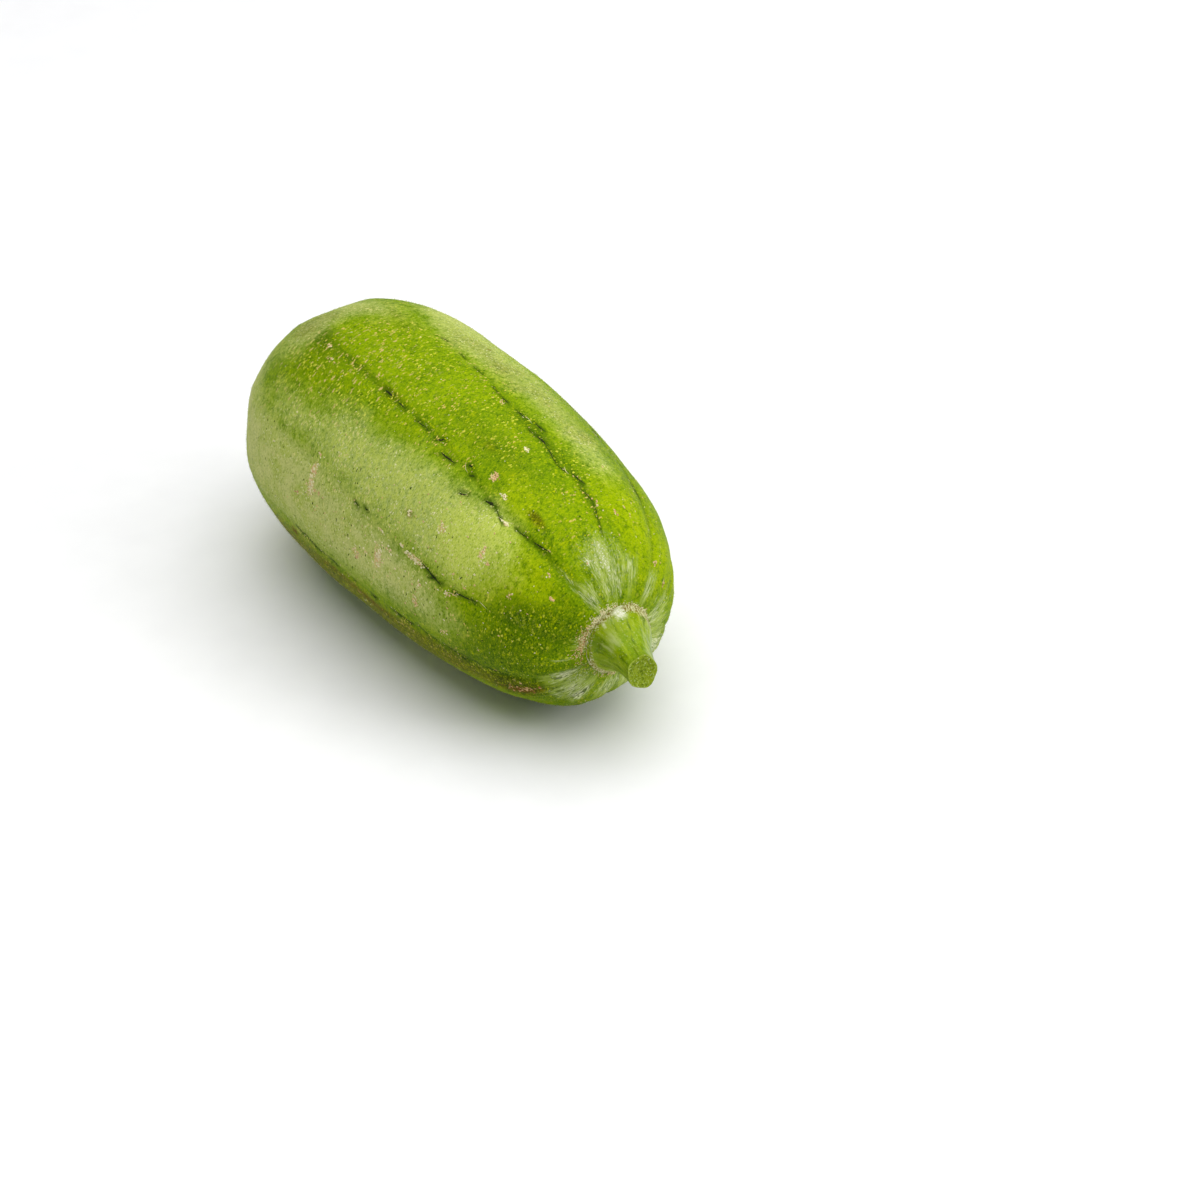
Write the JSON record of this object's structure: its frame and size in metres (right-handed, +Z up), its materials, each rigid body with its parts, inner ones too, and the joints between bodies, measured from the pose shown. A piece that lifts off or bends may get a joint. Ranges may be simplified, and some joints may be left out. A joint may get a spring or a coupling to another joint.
{
  "type": "smooth luffa gourd",
  "caption": "Whole green smooth luffa gourd lying on its side, a blunt club shape with faint seams, a cut ribbed stem and a dried blossom tip.",
  "frame": {"origin": "middle of the bottom of the bounding box, on the surface that the gourd lies on", "axes": "+X along the gourd from the blossom end to the stem end, +Z up"},
  "size_m": [0.1876, 0.0838, 0.0838],
  "materials": {
    "fruit_skin": "waxy green rind with pale flecks and dark seams, satin",
    "stem_skin": "fresh green stalk with pale lengthwise streaks, satin",
    "dried_tip": "dried olive-brown flower remnant, matt"
  },
  "bodies": {
    "root": {"fruit": "fruit_skin", "stem": "stem_skin", "blossom_tip": "dried_tip"}
  },
  "joints": []
}
